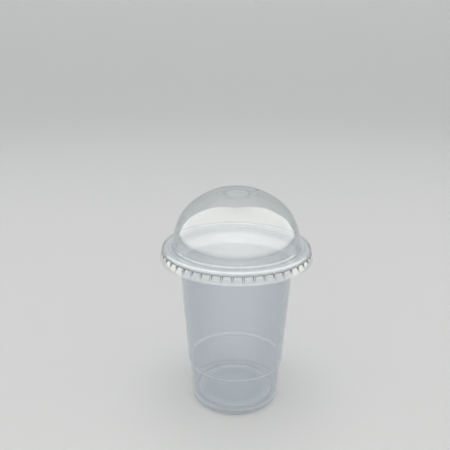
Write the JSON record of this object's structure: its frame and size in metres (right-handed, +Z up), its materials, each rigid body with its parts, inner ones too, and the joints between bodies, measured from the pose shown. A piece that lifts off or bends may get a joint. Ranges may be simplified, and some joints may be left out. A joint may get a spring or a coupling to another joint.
{
  "type": "plastic cup with dome lid",
  "caption": "Disposable translucent plastic cup with raised floor, stacking step and flanged rim, closed by a clear dome lid with a straw hole and snap lugs in its skirt.",
  "frame": {"origin": "centre of the foot ring, on the surface that the cup stands on", "axes": "+Z up, along the axis of the cup and lid; X and Y are alike, because both pieces are round"},
  "size_m": [0.1004, 0.1004, 0.1477],
  "materials": {
    "translucent_pp": "translucent, satin",
    "clear_pet": "clear, high gloss"
  },
  "bodies": {
    "cup": {"cup": "translucent_pp"},
    "lid": {"dome_lid": "clear_pet"}
  },
  "joints": [
    {"name": "lid_lift", "type": "slide", "parent": "cup", "child": "lid", "axis": [0, 0, 1], "range_m": [0, 0.05]}
  ]
}
